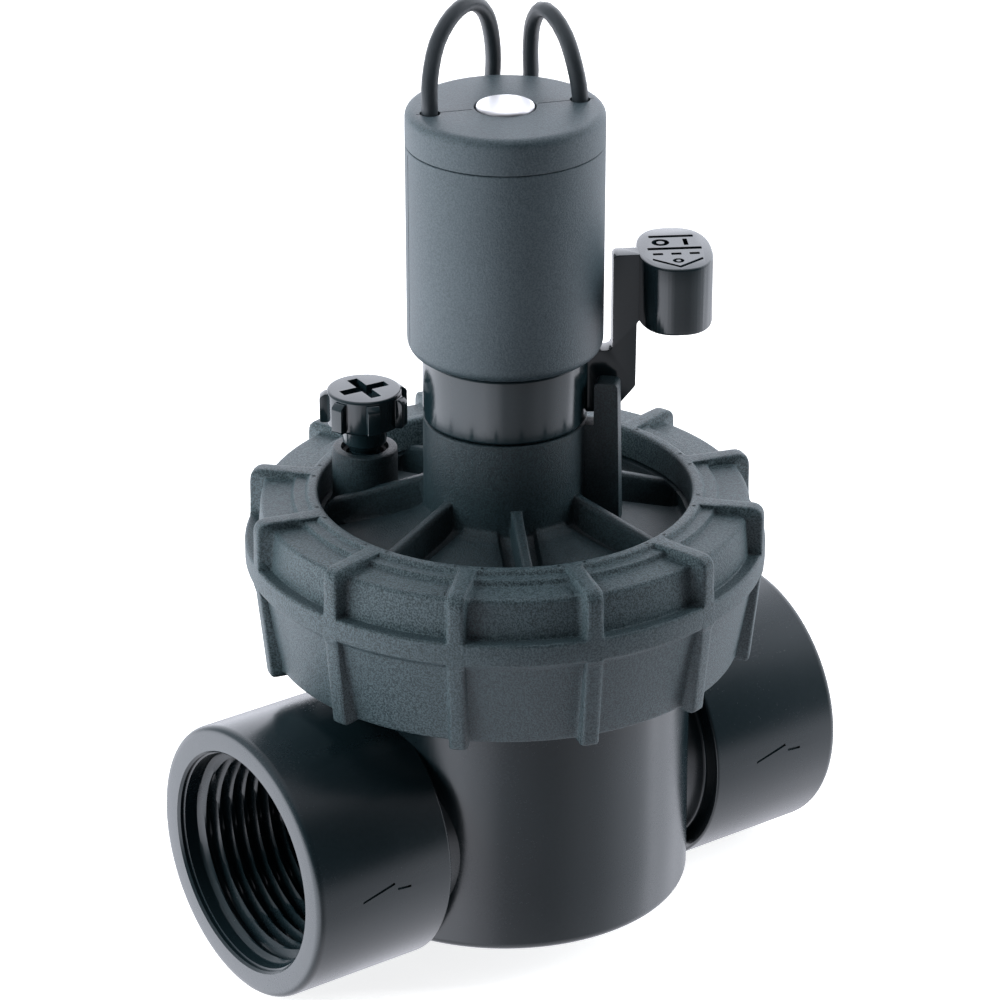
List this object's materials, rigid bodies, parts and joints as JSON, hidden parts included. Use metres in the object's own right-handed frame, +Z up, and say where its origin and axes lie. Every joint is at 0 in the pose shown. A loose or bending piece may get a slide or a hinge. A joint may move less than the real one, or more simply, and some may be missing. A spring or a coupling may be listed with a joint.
{
  "type": "solenoid valve",
  "caption": "Jar-top globe irrigation solenoid valve with threaded ports, screwed lock ring, manual lever, bleed screw and lead wires.",
  "frame": {"origin": "on the spindle axis at the lowest line of the ports and the foot, which is the base of the valve", "axes": "+Z up along the spindle, +X along the ports towards the inlet, so water flows towards -X"},
  "size_m": [0.1106, 0.1004, 0.1433],
  "materials": {
    "body_plastic": "smooth satin moulded charcoal",
    "grained_plastic": "coarse spark-eroded grain, charcoal",
    "gloss_plastic": "glossy black moulding",
    "coil_resin": "fine-grained matte charcoal",
    "rubber": "matte black",
    "nylon": "natural moulded",
    "steel": "fine turned stainless",
    "copper": "drawn copper wire",
    "lead_insulation": "extruded insulation, satin grey"
  },
  "bodies": {
    "root": {"valve_body": "body_plastic", "lead_coil_left": "lead_insulation", "lead_coil_right": "lead_insulation", "lead_end_left": "copper", "lead_end_right": "copper", "lead_tie": "nylon"},
    "bonnet": {"bonnet": "grained_plastic", "handle_oring": "rubber", "solenoid_housing": "coil_resin", "solenoid_cap": "coil_resin", "coil_bobbin": "nylon", "coil_winding": "copper", "flux_bracket": "steel", "stem_tube": "nylon", "fixed_core": "steel", "stem_oring": "rubber", "plunger_spring": "steel", "diaphragm": "rubber", "diaphragm_spring": "steel", "lead_left": "lead_insulation", "lead_right": "lead_insulation"},
    "lock_ring": {"lock_ring": "grained_plastic"},
    "manual_handle": {"manual_handle": "gloss_plastic"},
    "bleed_carrier": {"bleed_screw_oring": "rubber"},
    "bleed_screw": {"bleed_screw": "gloss_plastic"},
    "plunger": {"plunger": "steel", "plunger_seal": "rubber"},
    "diaphragm_hub": {"diaphragm_plate": "nylon", "seat_disc": "rubber", "seat_retainer": "nylon", "diaphragm_screw": "steel"}
  },
  "joints": [
    {"name": "bonnet_lift", "type": "slide", "parent": "root", "child": "bonnet", "axis": [0, 0, 1], "range_m": [0, 0.0125]},
    {"name": "ring_turn", "type": "hinge", "parent": "bonnet", "child": "lock_ring", "pos_m": [0, 0, 0.0445], "axis": [0, 0, 1], "range_deg": [0, 900]},
    {"name": "handle_turn", "type": "hinge", "parent": "bonnet", "child": "manual_handle", "pos_m": [0, 0, 0.0813], "axis": [0, 0, 1], "range_deg": [0, 75]},
    {"name": "bleed_lift", "type": "slide", "parent": "bonnet", "child": "bleed_carrier", "axis": [0, 0, 1], "range_m": [0, 0.0025]},
    {"name": "bleed_turn", "type": "hinge", "parent": "bleed_carrier", "child": "bleed_screw", "pos_m": [-0.0132, 0.0176, 0.0743], "axis": [0, 0, 1], "range_deg": [0, 720]},
    {"name": "plunger_lift", "type": "slide", "parent": "bonnet", "child": "plunger", "axis": [0, 0, 1], "range_m": [0, 0.0015], "stiffness_N_per_m": 250, "springref_m": -0.002, "deforming": ["plunger_spring"]},
    {"name": "diaphragm_lift", "type": "slide", "parent": "bonnet", "child": "diaphragm_hub", "axis": [0, 0, 1], "range_m": [0, 0.006], "stiffness_N_per_m": 600, "springref_m": -0.005, "deforming": ["diaphragm_spring", "diaphragm"]}
  ],
  "couplings": [
    {"joint": "ring_turn", "follows": "bonnet_lift", "rad_per_m": 1256.6},
    {"joint": "bleed_turn", "follows": "bleed_lift", "rad_per_m": 5026.5}
  ]
}
